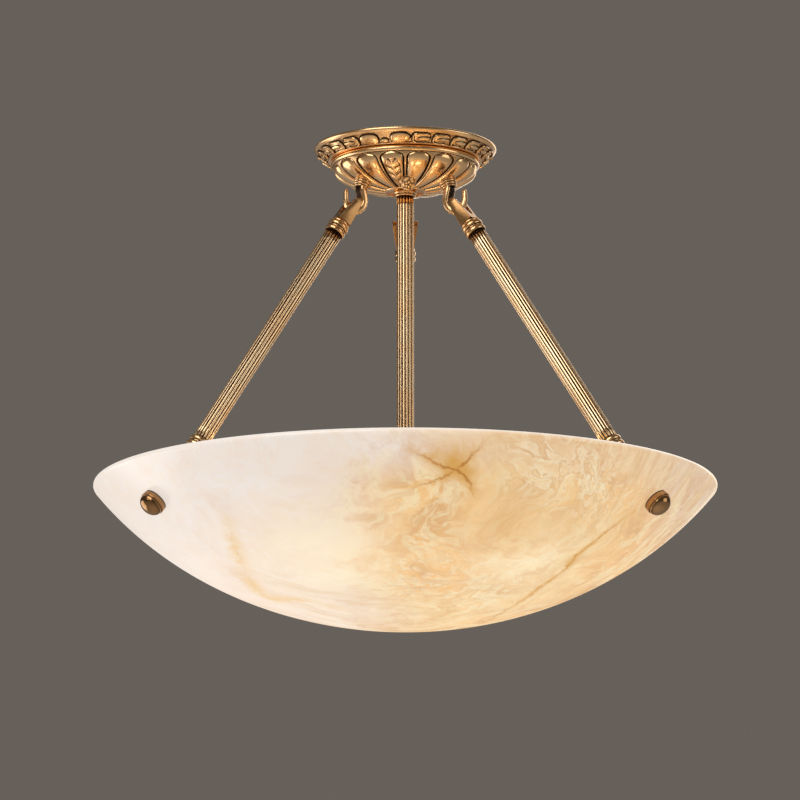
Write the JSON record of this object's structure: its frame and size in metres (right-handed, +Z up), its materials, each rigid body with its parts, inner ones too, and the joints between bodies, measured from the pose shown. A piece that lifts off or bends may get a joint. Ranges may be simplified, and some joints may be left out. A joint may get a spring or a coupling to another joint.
{
  "type": "pendant lamp",
  "caption": "Pendant lamp: shallow alabaster bowl hung on reeded brass arms with hook-and-eye joints from a gadrooned canopy, round a fixed stem with bulbs.",
  "frame": {"origin": "middle of the ceiling plane, between the two ceiling screw slots", "axes": "+Z up, towards the ceiling; +Y away from the viewer, towards the back arm; +X to the viewer's right"},
  "size_m": [0.5998, 0.5998, 0.473],
  "materials": {
    "brass": "antique satin, brown patina in the grooves",
    "stone": "polished translucent alabaster, lit from inside",
    "zinc_steel": "zinc plated",
    "holder": "glazed white",
    "block": "matt",
    "gasket": "matt",
    "bulb_cap": "bright",
    "bulb_glass": "opal white"
  },
  "bodies": {
    "canopy": {"ceiling_plate": "zinc_steel", "nipple": "zinc_steel", "nipple_nuts": "zinc_steel", "terminal_block": "block", "terminal_screws": "zinc_steel", "earth_screw": "zinc_steel", "canopy_pan": "brass", "canopy_cup": "brass", "hook_left": "brass", "hook_right": "brass", "hook_back": "brass", "hook_collars": "brass", "hook_nuts": "zinc_steel", "stem_collar": "brass", "stem_tube": "brass", "stem_coupling": "brass", "lamp_hub": "brass", "hub_finial": "brass", "lampholder_left": "holder", "lampholder_right": "holder", "lampholder_back": "holder"},
    "bowl": {"bowl": "stone", "wall_hook_left": "brass", "wall_hook_right": "brass", "wall_hook_back": "brass", "wall_collars": "brass", "inner_gaskets": "gasket", "outer_gaskets": "gasket"},
    "arm_left": {"arm_left_top_eye": "brass", "arm_left_top_ferrule": "brass", "arm_left_tube": "brass", "arm_left_tie_rod": "zinc_steel", "arm_left_bottom_ferrule": "brass", "arm_left_bottom_eye": "brass"},
    "arm_right": {"arm_right_top_eye": "brass", "arm_right_top_ferrule": "brass", "arm_right_tube": "brass", "arm_right_tie_rod": "zinc_steel", "arm_right_bottom_ferrule": "brass", "arm_right_bottom_eye": "brass"},
    "arm_back": {"arm_back_top_eye": "brass", "arm_back_top_ferrule": "brass", "arm_back_tube": "brass", "arm_back_tie_rod": "zinc_steel", "arm_back_bottom_ferrule": "brass", "arm_back_bottom_eye": "brass"},
    "cap_nut_left": {"cap_nut_left": "brass"},
    "cap_nut_right": {"cap_nut_right": "brass"},
    "cap_nut_back": {"cap_nut_back": "brass"},
    "bulb_left": {"bulb_cap_left": "bulb_cap", "bulb_globe_left": "bulb_glass"},
    "bulb_right": {"bulb_cap_right": "bulb_cap", "bulb_globe_right": "bulb_glass"},
    "bulb_back": {"bulb_cap_back": "bulb_cap", "bulb_globe_back": "bulb_glass"}
  },
  "joints": [
    {"name": "bowl_sway", "type": "hinge", "parent": "canopy", "child": "bowl", "pos_m": [0, 0, 0.02612], "axis": [0, 1, 0], "range_deg": [-4, 4]},
    {"name": "arm_left_sway", "type": "hinge", "parent": "canopy", "child": "arm_left", "pos_m": [-0.05096, -0.02942, -0.0633], "axis": [0, 1, 0], "range_deg": [-5.4, 5.4]},
    {"name": "arm_right_sway", "type": "hinge", "parent": "canopy", "child": "arm_right", "pos_m": [0.05096, -0.02942, -0.0633], "axis": [0, 1, 0], "range_deg": [-5.4, 5.4]},
    {"name": "arm_back_sway", "type": "hinge", "parent": "canopy", "child": "arm_back", "pos_m": [0, 0.05884, -0.0633], "axis": [0, 1, 0], "range_deg": [-5.4, 5.4]},
    {"name": "cap_nut_left_turn", "type": "hinge", "parent": "bowl", "child": "cap_nut_left", "pos_m": [-0.23296, -0.1345, -0.37205], "axis": [-0.587, -0.3389, -0.7353], "continuous": true},
    {"name": "cap_nut_right_turn", "type": "hinge", "parent": "bowl", "child": "cap_nut_right", "pos_m": [0.23296, -0.1345, -0.37205], "axis": [0.587, -0.3389, -0.7353], "continuous": true},
    {"name": "cap_nut_back_turn", "type": "hinge", "parent": "bowl", "child": "cap_nut_back", "pos_m": [0, 0.269, -0.37205], "axis": [0, 0.6778, -0.7353], "continuous": true},
    {"name": "bulb_left_turn", "type": "hinge", "parent": "canopy", "child": "bulb_left", "pos_m": [0, 0, -0.372], "axis": [-0.866, -0.5, 0], "continuous": true},
    {"name": "bulb_right_turn", "type": "hinge", "parent": "canopy", "child": "bulb_right", "pos_m": [0, 0, -0.372], "axis": [0.866, -0.5, 0], "continuous": true},
    {"name": "bulb_back_turn", "type": "hinge", "parent": "canopy", "child": "bulb_back", "pos_m": [0, 0, -0.372], "axis": [0, 1, 0], "continuous": true}
  ],
  "couplings": [
    {"joint": "arm_left_sway", "follows": "bowl_sway", "ratio": 1.3196},
    {"joint": "arm_right_sway", "follows": "bowl_sway", "ratio": 1.3196},
    {"joint": "arm_back_sway", "follows": "bowl_sway", "ratio": 1.3196}
  ]
}
